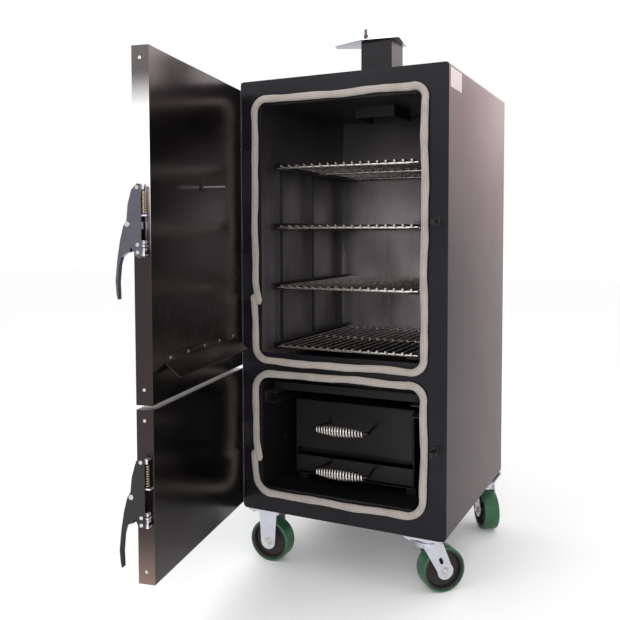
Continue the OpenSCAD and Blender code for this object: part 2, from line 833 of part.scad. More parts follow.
module wheel_tread() {
    half = wheel_w / 2;
    edge = 3;
    color("#2f6b48") translate([0, 0, axle_z]) rotate([90, 0, 0]) rotate_extrude() {
        translate([core_r, -half + 2]) square([wheel_d / 2 - core_r - edge, wheel_w - 4]);
        translate([core_r + 1.5, -half]) square([wheel_d / 2 - core_r - edge - 1.5, wheel_w]);
        translate([wheel_d / 2 - edge - 0.5, -half + edge]) square([edge + 0.5, wheel_w - 2 * edge]);
        for (s = [-1, 1]) translate([wheel_d / 2 - edge, s * (half - edge)]) circle(edge);
    }
}

outer_shell();
back_panel();
front_frame();
chamber_liner();
insulation();
door_gaskets();
stack();
flue_collar();
damper_bolts();
shelf_rails();
firebox();
latch_strikes();
cabinet_hinge_leaves();
hinge_pins();
rigid_forks();
for (p = left_casters) at_wheel(p, 0, 0) wheel_axle();  // rigid_axles
swivel_plates();
caster_bolts();
upper_door_skin();
upper_door_liner();
upper_door_core();
upper_hinge_leaves();
upper_latch_body();
upper_door_fasteners();
upper_latch_handle();
drip_deflector();
thermometer();
thermometer_needle();
lower_door_skin();
lower_door_liner();
lower_door_core();
lower_hinge_leaves();
lower_latch_body();
lower_door_fasteners();
lower_latch_handle();
swivel_fork(front_pivot, front_swivel);  // front_swivel_fork
swivel_fork(rear_pivot, rear_swivel);  // rear_swivel_fork
at_wheel(front_pivot, front_swivel, trail) wheel_axle();  // front_swivel_axle
at_wheel(rear_pivot, rear_swivel, trail) wheel_axle();  // rear_swivel_axle
at_wheel(left_casters[0], 0, 0) wheel_core();  // wheel_core_front_left
at_wheel(left_casters[1], 0, 0) wheel_core();  // wheel_core_rear_left
at_wheel(front_pivot, front_swivel, trail) wheel_core();  // wheel_core_front_right
at_wheel(rear_pivot, rear_swivel, trail) wheel_core();  // wheel_core_rear_right
at_wheel(left_casters[0], 0, 0) wheel_tread();  // wheel_tread_front_left
at_wheel(left_casters[1], 0, 0) wheel_tread();  // wheel_tread_rear_left
at_wheel(front_pivot, front_swivel, trail) wheel_tread();  // wheel_tread_front_right
at_wheel(rear_pivot, rear_swivel, trail) wheel_tread();  // wheel_tread_rear_right
rack(0);  // rack_1
rack(1);  // rack_2
rack(2);  // rack_3
rack(3);  // rack_4
drip_pan();
fuel_drawer();
ash_drawer();
drawer_handle(fuel_grip_z);  // fuel_drawer_handle
drawer_handle(ash_grip_z);  // ash_drawer_handle
drawer_grip(fuel_grip_z);  // fuel_drawer_grip
drawer_grip(ash_grip_z);  // ash_drawer_grip
damper_cap();
air_damper();
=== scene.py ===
"""The looks of a cabinet smoker with its doors open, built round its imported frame."""

import json
import math
import random

import bpy
from mathutils import Matrix, Vector


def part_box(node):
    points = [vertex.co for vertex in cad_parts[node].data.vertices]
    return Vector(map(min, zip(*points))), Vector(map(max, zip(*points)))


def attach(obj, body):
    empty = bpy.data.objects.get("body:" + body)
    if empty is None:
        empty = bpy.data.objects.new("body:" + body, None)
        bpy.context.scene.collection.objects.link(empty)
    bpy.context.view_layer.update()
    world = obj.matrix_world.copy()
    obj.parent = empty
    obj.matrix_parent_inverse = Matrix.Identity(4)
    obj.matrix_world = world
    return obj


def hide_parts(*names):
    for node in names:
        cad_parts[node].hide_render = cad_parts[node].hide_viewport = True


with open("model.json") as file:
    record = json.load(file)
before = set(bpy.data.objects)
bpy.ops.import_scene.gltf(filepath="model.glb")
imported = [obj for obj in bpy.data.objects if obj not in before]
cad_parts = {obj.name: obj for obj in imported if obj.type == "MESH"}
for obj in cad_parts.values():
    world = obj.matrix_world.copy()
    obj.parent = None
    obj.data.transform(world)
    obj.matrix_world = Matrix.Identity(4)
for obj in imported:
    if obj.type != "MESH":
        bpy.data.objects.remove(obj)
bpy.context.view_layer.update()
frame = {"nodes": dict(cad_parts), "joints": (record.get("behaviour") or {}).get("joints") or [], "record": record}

MM = 0.001
BODY_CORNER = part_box("front_frame")[0]
SLOT_OF = {part["node"]: part["material_slot"] for part in frame["record"]["subparts"]}
BODY_OF = {node: body for body, nodes in frame["record"]["behaviour"]["bodies"].items() for node in nodes}
JOINTS = {joint["name"]: joint for joint in frame["joints"]}


def at(x, y, z):
    """A point given in millimetres from the body's front left bottom corner."""
    return BODY_CORNER + Vector((x, y, z)) * MM


def span(node):
    """A node's lowest and highest corners, in millimetres from the body's corner."""
    low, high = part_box(node)
    return (low - BODY_CORNER) / MM, (high - BODY_CORNER) / MM


def joint_place(name):
    return Vector(JOINTS[name]["pos_m"])


DOOR_ANGLE = math.radians(JOINTS["upper_door_hinge"]["range_deg"][0])
DOOR_PIVOT = joint_place("upper_door_hinge")
DOOR_SWING = (Matrix.Translation(DOOR_PIVOT) @ Matrix.Rotation(DOOR_ANGLE, 4, "Z")
              @ Matrix.Translation(-DOOR_PIVOT))


# ---- materials ----

class Field:
    """A number that varies over a surface, with ordinary arithmetic."""

    def __init__(self, paint, socket):
        self.paint = paint
        self.socket = socket

    def combine(self, operation, first, second):
        node = self.paint.node("ShaderNodeMath", {"operation": operation}, {0: first, 1: second})
        return Field(self.paint, node.outputs[0])

    def __add__(self, other):
        return self.combine("ADD", self, other)

    def __radd__(self, other):
        return self.combine("ADD", other, self)

    def __sub__(self, other):
        return self.combine("SUBTRACT", self, other)

    def __rsub__(self, other):
        return self.combine("SUBTRACT", other, self)

    def __mul__(self, other):
        return self.combine("MULTIPLY", self, other)

    def __rmul__(self, other):
        return self.combine("MULTIPLY", other, self)

    def ramp(self, low, high):
        """0 at low, 1 at high, smooth between."""
        node = self.paint.node("ShaderNodeMapRange", {"interpolation_type": "SMOOTHSTEP", "clamp": True},
                               {"Value": self, "From Min": low, "From Max": high})
        return Field(self.paint, node.outputs[0])

    def apply(self, operation):
        node = self.paint.node("ShaderNodeMath", {"operation": operation}, {0: self})
        return Field(self.paint, node.outputs[0])


class Paint:
    """One procedural material, read on Object coordinates."""

    def __init__(self, name, color, roughness=0.5, metallic=0.0, **constants):
        self.material = bpy.data.materials.new(name)
        self.material.use_nodes = True
        self.tree = self.material.node_tree
        self.shader = self.tree.nodes["Principled BSDF"]
        self.coords = self.node("ShaderNodeTexCoord").outputs["Object"]
        self.set("Roughness", roughness)
        self.set("Metallic", metallic)
        for socket, value in constants.items():
            self.set(socket.replace("_", " "), value)
        self.shade(color)
        self.material.diffuse_color = (*color, 1.0)

    def node(self, kind, settings=None, sockets=None):
        node = self.tree.nodes.new(kind)
        for key, value in (settings or {}).items():
            setattr(node, key, value)
        for key, value in (sockets or {}).items():
            source = getattr(value, "socket", value)
            if isinstance(source, bpy.types.NodeSocket):
                self.tree.links.new(source, node.inputs[key])
            else:
                node.inputs[key].default_value = source
        return node

    def set(self, socket, value):
        source = getattr(value, "socket", value)
        if isinstance(source, bpy.types.NodeSocket):
            self.tree.links.new(source, self.shader.inputs[socket])
        else:
            self.shader.inputs[socket].default_value = source

    def shade(self, color):
        self.set("Base Color", color if hasattr(color, "socket") else (*color, 1.0))

    def axis(self, name):
        node = self.node("ShaderNodeSeparateXYZ", None, {0: self.coords})
        return Field(self, node.outputs[name])

    def mapped(self, stretch):
        node = self.node("ShaderNodeMapping", None, {"Vector": self.coords, "Scale": stretch})
        return node.outputs[0]

    def noise(self, scale, stretch=(1, 1, 1), detail=3.0, rough=0.55):
        node = self.node("ShaderNodeTexNoise", None, {
            "Vector": self.mapped(stretch), "Scale": scale, "Detail": detail, "Roughness": rough})
        return Field(self, node.outputs[0])

    def mix(self, mask, first, second):
        """A colour between two. Of the Mix node's inputs, 0 is the factor and 6 and 7 are the colours."""
        node = self.node("ShaderNodeMix", {"data_type": "RGBA"}, {
            0: mask, 6: first if hasattr(first, "socket") else (*first, 1.0),
            7: second if hasattr(second, "socket") else (*second, 1.0)})
        return Field(self, node.outputs[2])

    def bump(self, height, distance, strength=1.0):
        node = self.node("ShaderNodeBump", None, {
            "Height": height, "Distance": distance, "Strength": strength})
        self.set("Normal", Field(self, node.outputs[0]))


def satin_black(name, color, warm, roughness, gloss):
    """Heat-proof paint: fine orange peel, faint clouds and a sheen that varies."""
    paint = Paint(name, color, roughness, 0.0, Specular_IOR_Level=gloss)
    clouds = paint.noise(3.0, detail=4.0)
    paint.shade(paint.mix(clouds.ramp(0.35, 0.75), color, warm))
    paint.set("Roughness", roughness - 0.06 + 0.12 * paint.noise(6.0, detail=5.0))
    paint.bump(paint.noise(420.0, detail=2.0), 0.00006, 0.5)
    return paint.material


def shell_paint_with_painted_reflection():
    """The outer shell's satin black; its right side alone carries a painted mauve reflection of raking light, with
    a painted highlight towards the top back corner.
    """
    black, haze = (0.0085, 0.0075, 0.0092), (0.018, 0.016, 0.019)
    # The dark mauve, the mauve and the pale colour below are painted reflection and painted highlight for the
    # right side; the paint itself is the black above.
    color, bloom, painted_highlight = (0.011, 0.0045, 0.0075), (0.22, 0.145, 0.15), (0.44, 0.34, 0.34)
    paint = Paint("shell_paint", black, 0.3, 0.0, Specular_IOR_Level=0.075)
    height, depth = paint.axis("Z"), paint.axis("Y")
    # Painted reflection masks: stronger high up, a little low down, and stronger towards the back and top.
    high = height.ramp(0.8, 1.5)
    low = 1 - height.ramp(0.12, 0.42)
    clouds = paint.noise(2.2, detail=4.0)
    far = depth.ramp(-0.1, 0.8) * (0.25 + 0.4 * height.ramp(0.3, 1.0))
    side = paint.mix(high * 0.75 + low * 0.05 + clouds * 0.08 + far, color, bloom)
    # Painted highlight near the top back of the right side.
    raked = paint.mix(height.ramp(1.1, 1.45) * depth.ramp(0.1, 0.7), side, painted_highlight)
    plain_black = paint.mix(clouds.ramp(0.35, 0.75), black, haze)
    # Only the right side (object x past 0.312 m) gets the painted reflection; the other sides stay plain black
    # with haze.
    paint.shade(paint.mix(paint.axis("X").ramp(0.312, 0.3165), plain_black, raked))
    paint.set("Roughness", 0.25 + 0.09 * paint.noise(9.0, detail=5.0))
    paint.bump(paint.noise(420.0, detail=2.0), 0.00006, 0.45)
    return paint.material


def brushed(name, color, roughness, stretch, dark, metallic=1.0):
    """Sheet steel brushed along the axis that stretch leaves smallest."""
    paint = Paint(name, color, roughness, metallic)
    grain = paint.noise(1.0, stretch, detail=6.0, rough=0.7)
    stains = paint.noise(2.4, detail=4.0)
    worn = tuple(c * dark for c in color)
    paint.shade(paint.mix(grain.ramp(0.3, 0.7) * 0.6 + stains * 0.4, worn, color))
    paint.set("Roughness", roughness - 0.08 + 0.16 * grain)
    paint.bump(grain, 0.00004, 0.6)
    return paint.material


def door_skin_steel():
    """The doors' brushed skins; their free edges carry a pale painted highlight at head height, brown painted
    shade lower down and a tan painted reflection at the bottom.
    """
    # The first three colours are painted light for the free edges: a pale painted highlight, brown painted shade
    # and a tan painted reflection. The next two are the brushed face's own tones.
    pale, brown, painted_low_reflection = (0.93, 0.92, 0.91), (0.046, 0.036, 0.036), (0.25, 0.176, 0.15)
    face, worn_face = (0.42, 0.405, 0.395), (0.3, 0.285, 0.275)
    paint = Paint("door_steel", face, 0.3, 1.0)
    grain = paint.noise(1.0, (26, 26, 900), detail=6.0, rough=0.7)
    height = paint.axis("Z")
    # Painted highlight band at head height, fading above it.
    lit = height.ramp(0.94, 1.14) - height.ramp(1.25, 1.37) * 0.95
    low = paint.mix(1 - height.ramp(0.14, 0.34), brown, painted_low_reflection)
    edge = paint.mix(lit * (0.85 + 0.3 * grain), low, pale)
    broad = paint.mix(grain.ramp(0.3, 0.7) * 0.6 + paint.noise(1.6) * 0.4, worn_face, face)
    # The free edge strip (object y beyond 0.588 m forward) gets the painted light and shade; the broad face keeps
    # its grain.
    paint.shade(paint.mix((0 - paint.axis("Y")).ramp(0.588, 0.595), broad, edge))
    paint.set("Roughness", 0.22 + 0.2 * grain)
    paint.bump(grain, 0.00004, 0.6)
    return paint.material


def door_inside_steel():
    """The doors' inner sheets: brushed upright, smoke-browned, darker on the lower door."""
    paint = Paint("door_liner_steel", (0.2, 0.178, 0.175), 0.2, 1.0)
    grain = paint.noise(1.0, (600, 600, 14), detail=6.0, rough=0.7)
    stains = paint.noise(2.4, detail=5.0)
    brown, pale = (0.066, 0.057, 0.058), (0.12, 0.104, 0.105)
    sheet = paint.mix(grain.ramp(0.3, 0.7) * 0.6 + stains * 0.4, brown, pale)
    sooty = paint.mix(stains, (0.06, 0.052, 0.054), (0.105, 0.09, 0.094))
    paint.shade(paint.mix(paint.axis("Z").ramp(0.59, 0.62), sooty, sheet))
    paint.set("Roughness", 0.13 + 0.14 * grain + 0.08 * stains.ramp(0.45, 0.7))
    paint.bump(grain, 0.00004, 0.6)
    return paint.material


def smoked_steel_with_painted_shade():
    """Bare sheet darkened by smoke: patchy grey in the cooking chamber and sooty below, with painted shade
    darkening the chamber towards its top and on its left wall.
    """
    # The third colour here is painted shade, for the chamber's top and its left wall; the first two are the
    # steel's own tone and real soot.
    chamber, soot, wall = (0.42, 0.392, 0.4), (0.1, 0.092, 0.094), (0.062, 0.058, 0.061)
    paint = Paint("liner_steel", chamber, 0.42, 0.85)
    clouds = paint.noise(2.6, (1, 1, 0.7), detail=6.0).ramp(0.3, 0.72)
    fine = paint.noise(90.0, detail=3.0)
    drips = paint.noise(1.0, (34, 34, 3), detail=4.0).ramp(0.5, 0.8)
    height = paint.axis("Z")
    # Painted shade masks: darker towards the chamber's top and on its left wall.
    high = height.ramp(0.95, 1.32) * 0.8
    left = 1 - paint.axis("X").ramp(-0.262, -0.25)
    grey = paint.mix(clouds * 0.75 + drips * 0.3, chamber, soot)
    grey = paint.mix((high + left * 0.75).ramp(0.0, 1.0), grey, wall)
    up = height.ramp(0.6, 0.66)
    firebox_soot = paint.mix(clouds, (0.0085, 0.0076, 0.0079), (0.0038, 0.0034, 0.0034))
    paint.shade(paint.mix(up, firebox_soot, grey))
    paint.set("Metallic", 0.1 + 0.8 * up)
    paint.set("Specular IOR Level", 0.28)
    paint.set("Roughness", 0.32 + 0.16 * clouds + 0.1 * fine)
    paint.bump(fine + 0.6 * clouds, 0.00012, 0.4)
    return paint.material


def rope():
    """Knitted glass-fibre rope: rows of stitches that follow the rope's own UV map."""
    color, shadow = (0.47, 0.42, 0.37), (0.19, 0.16, 0.14)
    paint = Paint("gasket_rope", color, 0.92, 0.0, Sheen_Weight=0.35, Sheen_Roughness=0.6)
    uv = paint.node("ShaderNodeTexCoord").outputs["UV"]
    parts = paint.node("ShaderNodeSeparateXYZ", None, {0: uv})
    along, around = Field(paint, parts.outputs[0]), Field(paint, parts.outputs[1])
    rows = (around * 88.0 + (along * 900.0).apply("SINE") * 0.9).apply("SINE")
    stitches = (along * 1800.0 + rows * 1.2).apply("SINE")
    knit = rows * 0.5 + stitches * 0.5
    grime = paint.noise(16.0, detail=5.0).ramp(0.42, 0.75)
    mixed = paint.mix(knit.ramp(-0.9, 0.6), shadow, color)
    paint.shade(paint.mix(grime * 0.45, mixed, (0.2, 0.165, 0.14)))
    paint.bump(knit + paint.noise(600.0) * 0.7, 0.0009, 0.9)
    return paint.material


def plated(name, color, roughness, spots, metallic=1.0):
    """Plating: even metal with a faint bloom and small dull spots."""
    paint = Paint(name, color, roughness, metallic)
    bloom = paint.noise(26.0, detail=5.0)
    specks = paint.noise(240.0, detail=2.0).ramp(0.55, 0.75)
    dull = tuple(c * 0.6 for c in color)
    paint.shade(paint.mix(bloom.ramp(0.45, 0.8) * spots + specks * spots * 0.5, color, dull))
    paint.set("Roughness", roughness + 0.12 * bloom + 0.1 * specks)
    paint.bump(bloom, 0.00008, 0.4)
    return paint.material


def tread_green():
    """Cast polyurethane, scuffed and dusty on the running face."""
    color = (0.012, 0.085, 0.035)
    paint = Paint("green_tread", color, 0.42, 0.0, Specular_IOR_Level=0.5)
    scuffs = paint.noise(55.0, (1, 1, 2.4), detail=6.0).ramp(0.5, 0.75)
    dust = paint.noise(9.0, detail=5.0).ramp(0.45, 0.8)
    worn = paint.mix(scuffs * 0.7, color, (0.05, 0.16, 0.085))
    paint.shade(paint.mix(dust * 0.35, worn, (0.012, 0.03, 0.02)))
    paint.set("Roughness", 0.36 + 0.3 * scuffs)
    paint.bump(scuffs + paint.noise(300.0) * 0.3, 0.0004, 0.5)
    return paint.material


def cast_black():
    paint = Paint("wheel_iron", (0.022, 0.017, 0.018), 0.55, 0.3)
    grain = paint.noise(260.0, detail=4.0)
    rust = paint.noise(18.0, detail=6.0).ramp(0.56, 0.75)
    paint.shade(paint.mix(rust * 0.5, (0.022, 0.017, 0.018), (0.06, 0.028, 0.016)))
    paint.set("Roughness", 0.45 + 0.3 * grain)
    paint.bump(grain, 0.0005, 0.7)
    return paint.material


def wool():
    paint = Paint("insulation_wool", (0.55, 0.48, 0.3), 0.95, 0.0, Sheen_Weight=0.3)
    fibres = paint.noise(60.0, (1, 6, 1), detail=8.0, rough=0.7)
    paint.shade(paint.mix(fibres, (0.38, 0.32, 0.18), (0.66, 0.6, 0.42)))
    paint.bump(fibres, 0.004, 0.8)
    return paint.material


def plain(name, color, roughness, metallic=0.0, **constants):
    """A small part's finish: one colour with fine grain in it."""
    paint = Paint(name, color, roughness, metallic, **constants)
    fine = paint.noise(200.0, detail=4.0)
    paint.shade(paint.mix(fine, tuple(c * 0.7 for c in color), color))
    paint.set("Roughness", roughness - 0.05 + 0.14 * fine)
    paint.bump(fine, 0.0001, 0.5)
    return paint.material


def clear_glass():
    paint = Paint("gauge_glass", (1.0, 1.0, 1.0), 0.02, 0.0)
    paint.set("Alpha", 0.12 + 0.06 * paint.noise(40.0))
    return paint.material


MATERIALS = {
    "shell_paint": shell_paint_with_painted_reflection(),
    "frame_paint": satin_black("frame_paint", (0.0062, 0.0056, 0.0075), (0.011, 0.01, 0.0135), 0.3, 0.16),
    "liner_steel": smoked_steel_with_painted_shade(),
    "insulation_wool": wool(),
    "gasket_rope": rope(),
    "door_steel": door_skin_steel(),
    "door_liner_steel": door_inside_steel(),
    "latch_steel": plated("latch_steel", (0.13, 0.125, 0.155), 0.2, 0.5),
    "bright_fasteners": plated("bright_fasteners", (0.56, 0.53, 0.5), 0.22, 0.3),
    "nickel_wire": plated("nickel_wire", (0.55, 0.52, 0.49), 0.2, 0.45),
    "zinc_plate": plated("zinc_plate", (0.56, 0.57, 0.62), 0.36, 0.4),
    "green_tread": tread_green(),
    "wheel_iron": cast_black(),
    "rail_steel": plain("rail_steel", (0.03, 0.028, 0.028), 0.42, 0.4),
    "black_steel": plain("black_steel", (0.008, 0.0072, 0.0078), 0.3, 0.0, Specular_IOR_Level=0.3),
    "cap_steel": brushed("cap_steel", (0.80, 0.77, 0.84), 0.35, (500, 20, 20), 0.9),
    "needle_red": plain("needle_red", (0.5, 0.02, 0.015), 0.4),
}


# ---- modelling helpers ----

def select_only(piece):
    bpy.ops.object.select_all(action="DESELECT")
    piece.select_set(True)
    bpy.context.view_layer.objects.active = piece


def smooth(piece, degrees=35):
    select_only(piece)
    bpy.ops.object.shade_smooth_by_angle(angle=math.radians(degrees))


def flatten_shading(piece):
    """Lets the large flat faces set the normals at their rounded rims."""
    select_only(piece)
    weights = piece.modifiers.new("flat_faces_first", "WEIGHTED_NORMAL")
    weights.keep_sharp = True
    bpy.ops.object.modifier_apply(modifier=weights.name)


def bevel(piece, width):
    """Rounds every edge that turns by more than 30 degrees, for good."""
    select_only(piece)
    edge = piece.modifiers.new("rounded_edges", "BEVEL")
    edge.width = width * MM
    edge.segments = 2
    edge.limit_method = "ANGLE"
    edge.angle_limit = math.radians(30)
    bpy.ops.object.modifier_apply(modifier=edge.name)


def finish_piece(piece, body, slot, material=None, nodes=()):
    piece.data.materials.clear()
    piece.data.materials.append(material or MATERIALS[slot])
    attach(piece, body)
    if nodes:
        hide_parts(*nodes)
    return piece


def rounded_copy(node, width, material=None):
    """A copy of a node with its corners welded and its edges rounded."""
    piece = bpy.data.objects.new(node + "_rounded", frame["nodes"][node].data.copy())
    bpy.context.scene.collection.objects.link(piece)
    select_only(piece)
    bpy.ops.object.mode_set(mode="EDIT")
    bpy.ops.mesh.select_all(action="SELECT")
    bpy.ops.mesh.remove_doubles(threshold=0.000002)
    bpy.ops.mesh.dissolve_limited(angle_limit=math.radians(0.5))
    bpy.ops.object.mode_set(mode="OBJECT")
    bevel(piece, width)
    smooth(piece, 50)
    flatten_shading(piece)
    return finish_piece(piece, BODY_OF[node], SLOT_OF[node], material, (node,))


def new_object(name, verts, faces):
    mesh = bpy.data.meshes.new(name)
    mesh.from_pydata([tuple(v) for v in verts], [], faces)
    piece = bpy.data.objects.new(name, mesh)
    bpy.context.scene.collection.objects.link(piece)
    return piece


def outward(piece):
    """Welds doubled points and turns every face outwards."""
    select_only(piece)
    bpy.ops.object.mode_set(mode="EDIT")
    bpy.ops.mesh.select_all(action="SELECT")
    bpy.ops.mesh.remove_doubles(threshold=0.000001)
    bpy.ops.mesh.normals_make_consistent(inside=False)
    bpy.ops.object.mode_set(mode="OBJECT")


def sweep(name, centres, radius, sides=8, flatten=1.0, up=Vector((0, 0, 1))):
    """A tube along centres. radius may be a function of the ring's number and angle."""
    count = len(centres)
    verts, uvs, run = [], [], 0.0
    for i, centre in enumerate(centres):
        after = centres[min(i + 1, count - 1)]
        before = centres[max(i - 1, 0)]
        tangent = (after - before).normalized()
        side = up.cross(tangent)
        side = side.normalized() if side.length > 1e-6 else Vector((1, 0, 0))
        lift = tangent.cross(side).normalized()
        for k in range(sides):
            angle = 2 * math.pi * k / sides
            r = radius(i, angle) if callable(radius) else radius
            verts.append(centre + side * (r * math.cos(angle)) + lift * (r * flatten * math.sin(angle)))
        uvs.append(run)
        run += (after - centre).length
    faces = []
    for start in range(0, (count - 1) * sides, sides):
        for k in range(sides):
            m = (k + 1) % sides
            faces.append((start + k, start + m, start + sides + m, start + sides + k))
    faces.append(tuple(range(sides - 1, -1, -1)))
    faces.append(tuple(range((count - 1) * sides, count * sides)))
    piece = new_object(name, verts, faces)
    layer = piece.data.uv_layers.new(name="rope_uv")
    for polygon in piece.data.polygons:
        for loop in polygon.loop_indices:
            ring, k = divmod(piece.data.loops[loop].vertex_index, sides)
            layer.data[loop].uv = (uvs[ring], k / sides)
    select_only(piece)
    bpy.ops.object.mode_set(mode="EDIT")
    bpy.ops.mesh.select_all(action="SELECT")
    bpy.ops.mesh.normals_make_consistent(inside=False)
    bpy.ops.object.mode_set(mode="OBJECT")
    smooth(piece, 60)
    return piece


def block(name, low, high, width=0.6):
    """A bevelled block between two corners, in millimetres from the body's corner."""
    low, high = at(*low), at(*high)
    bpy.ops.object.select_all(action="DESELECT")
    bpy.ops.mesh.primitive_cube_add(size=1, location=(low + high) / 2)
    piece = bpy.context.object
    piece.name = name
    piece.scale = high - low
    bpy.ops.object.transform_apply(location=True, rotation=True, scale=True)
    bevel(piece, width)
    smooth(piece, 50)
    flatten_shading(piece)
    return piece


def spun(name, profile, centre, axis, steps=64):
    """A profile of (radius, height) in millimetres turned round an axis through centre."""
    verts = [Vector((r, 0, h)) * MM for r, h in profile]
    mesh = bpy.data.meshes.new(name)
    mesh.from_pydata([tuple(v) for v in verts], [(i, i + 1) for i in range(len(verts) - 1)], [])
    piece = bpy.data.objects.new(name, mesh)
    bpy.context.scene.collection.objects.link(piece)
    select_only(piece)
    bpy.ops.object.mode_set(mode="EDIT")
    bpy.ops.mesh.select_all(action="SELECT")
    bpy.ops.mesh.spin(steps=steps, angle=2 * math.pi, center=(0, 0, 0), axis=(0, 0, 1))
    bpy.ops.object.mode_set(mode="OBJECT")
    outward(piece)
    turn = Vector((0, 0, 1)).rotation_difference(Vector(axis)).to_matrix().to_4x4()
    piece.data.transform(Matrix.Translation(centre) @ turn)
    smooth(piece, 32)
    return piece


def join(pieces, name):
    select_only(pieces[0])
    for piece in pieces:
        piece.select_set(True)
    bpy.ops.object.join()
    pieces[0].name = name
    return pieces[0]


def swing(piece):
    """Carries a piece made at the closed door to where the open door is."""
    piece.data.transform(DOOR_SWING)
    return piece


# ---- rope gaskets ----

ROPE_PITCH = 3.0
ROPE_HALF_W = 10.4
ROPE_HALF_T = 6.8
# how far from a rope's end it bends aside, and how far its two ends run side by side
ROPE_FLARE = 75
ROPE_OVERLAP = 34


def rope_centres(x0, x1, z0, z1, r, seed, overlap_z):
    """A rounded loop laid by hand, starting and ending on the left, where its ends pass each other."""
    rng = random.Random(seed)
    phases = [rng.uniform(0, 6.28) for _ in range(3)]
    depth = -ROPE_HALF_T - 0.2
    corners = [((x0 + r, z0 + r), 180), ((x1 - r, z0 + r), -90),
               ((x1 - r, z1 - r), 0), ((x0 + r, z1 - r), 90)]
    outline = [Vector((x0, 0, overlap_z))]
    for (cx, cz), start in corners:
        for k in range(17):
            a = math.radians(start + 90 * k / 16)
            bulge = 5 * math.sin(math.pi * k / 16) if cx > x0 + r and start == 0 else 0
            reach = r + bulge
            outline.append(Vector((cx + reach * math.cos(a), 0, cz + reach * math.sin(a))))
    outline.append(Vector((x0, 0, overlap_z - ROPE_OVERLAP)))
    length = sum((b - a).length for a, b in zip(outline, outline[1:]))
    points, run = [], 0.0
    for a, b in zip(outline, outline[1:]):
        steps = max(1, round((b - a).length / ROPE_PITCH))
        for k in range(steps):
            s = run + (b - a).length * k / steps
            p = a.lerp(b, k / steps)
            wave = 1.5 * math.sin(s / 61 + phases[0]) + 1.0 * math.sin(s / 29 + phases[1])
            lift = 0.5 * math.sin(s / 47 + phases[2])
            outwards = Vector((p.x - (x0 + x1) / 2, 0, p.z - (z0 + z1) / 2)).normalized()
            start_shift = -5.5 * max(0.0, 1 - s / ROPE_FLARE) ** 0.7
            end_shift = 12.5 * max(0.0, 1 - (length - s) / ROPE_FLARE) ** 1.3
            points.append(at(p.x + wave * outwards.x + start_shift + end_shift,
                             depth + lift, p.z + wave * outwards.z))
        run += (b - a).length
    return points


def lay_rope(name, low, high, corner, seed, overlap_z):
    """One gasket between two corners of its centre line, its ends meeting at overlap_z."""
    centres = rope_centres(low[0], high[0], low[1], high[1], corner, seed, overlap_z)
    rng = random.Random(seed)
    lumps = [rng.uniform(0, 6.28) for _ in range(3)]
    last = len(centres) - 1

    def radius(i, angle):
        s = i * ROPE_PITCH
        swell = 1 + 0.045 * math.sin(s / 23 + lumps[0]) + 0.03 * math.sin(s / 11 + lumps[1])
        knit = 1 + 0.022 * math.sin(14 * angle + s * 0.9)
        tip = min(1.0, 0.45 + 0.2 * min(i, last - i))
        return ROPE_HALF_W * swell * knit * tip * MM

    return sweep(name, centres, radius, 28, ROPE_HALF_T / ROPE_HALF_W, up=Vector((0, 1, 0)))


upper_rope = lay_rope("upper_rope", (51, 456), (572, 1224), corner=40, seed=3, overlap_z=654)
finish_piece(upper_rope, "cabinet", "gasket_rope", nodes=("door_gaskets",))
lower_rope = lay_rope("lower_rope", (51, 58), (572, 420), corner=50, seed=8, overlap_z=184)
finish_piece(lower_rope, "cabinet", "gasket_rope")


# ---- sheet metal and machined parts that keep their drawn shape ----

# each node is copied with its edges rounded by this many millimetres
ROUNDED = {
    "outer_shell": 0.8, "back_panel": 0.8, "front_frame": 0.8, "stack": 0.8, "flue_collar": 0.5,
    "damper_bolts": 0.5, "latch_strikes": 1.0, "cabinet_hinge_leaves": 0.6, "hinge_pins": 0.6,
    "rigid_forks": 1.0, "rigid_axles": 0.7, "swivel_plates": 0.8, "caster_bolts": 0.5,
    "upper_door_skin": 0.7, "lower_door_skin": 0.7, "upper_door_liner": 0.4, "lower_door_liner": 0.4,
    "upper_hinge_leaves": 0.6, "lower_hinge_leaves": 0.6, "upper_latch_body": 0.5,
    "lower_latch_body": 0.5, "upper_door_fasteners": 0.8, "lower_door_fasteners": 0.8,
    "upper_latch_handle": 2.2, "lower_latch_handle": 2.2, "drip_deflector": 0.4,
    "front_swivel_fork": 1.0, "rear_swivel_fork": 1.0, "front_swivel_axle": 0.7, "rear_swivel_axle": 0.7,
    "shelf_rails": 0.4, "firebox": 0.6, "drip_pan": 0.5, "fuel_drawer": 0.6, "ash_drawer": 0.6,
    "damper_cap": 0.5, "air_damper": 0.5, "thermometer": 0.6,
}
# nodes whose finish is darker than their slot's own
DARKER = {
    "shelf_rails": MATERIALS["rail_steel"],
    "drip_deflector": MATERIALS["door_liner_steel"],
    "flue_collar": MATERIALS["rail_steel"],
    "hinge_pins": MATERIALS["rail_steel"],
    "damper_bolts": plain("dull_bolt", (0.11, 0.085, 0.075), 0.4, 0.7),
}
for node in ("lower_latch_body", "lower_latch_handle"):
    DARKER[node] = plain(node + "_black", (0.012, 0.011, 0.013), 0.16, 0.3)
for node, width in ROUNDED.items():
    rounded_copy(node, width, material=DARKER.get(node))

for node in ("chamber_liner", "insulation", "upper_door_core", "lower_door_core", "thermometer_needle",
             "rack_1", "rack_2", "rack_3", "rack_4"):
    kept = frame["nodes"][node]
    kept.data.materials.clear()
    kept.data.materials.append(MATERIALS[SLOT_OF[node]])


# ---- wheels ----

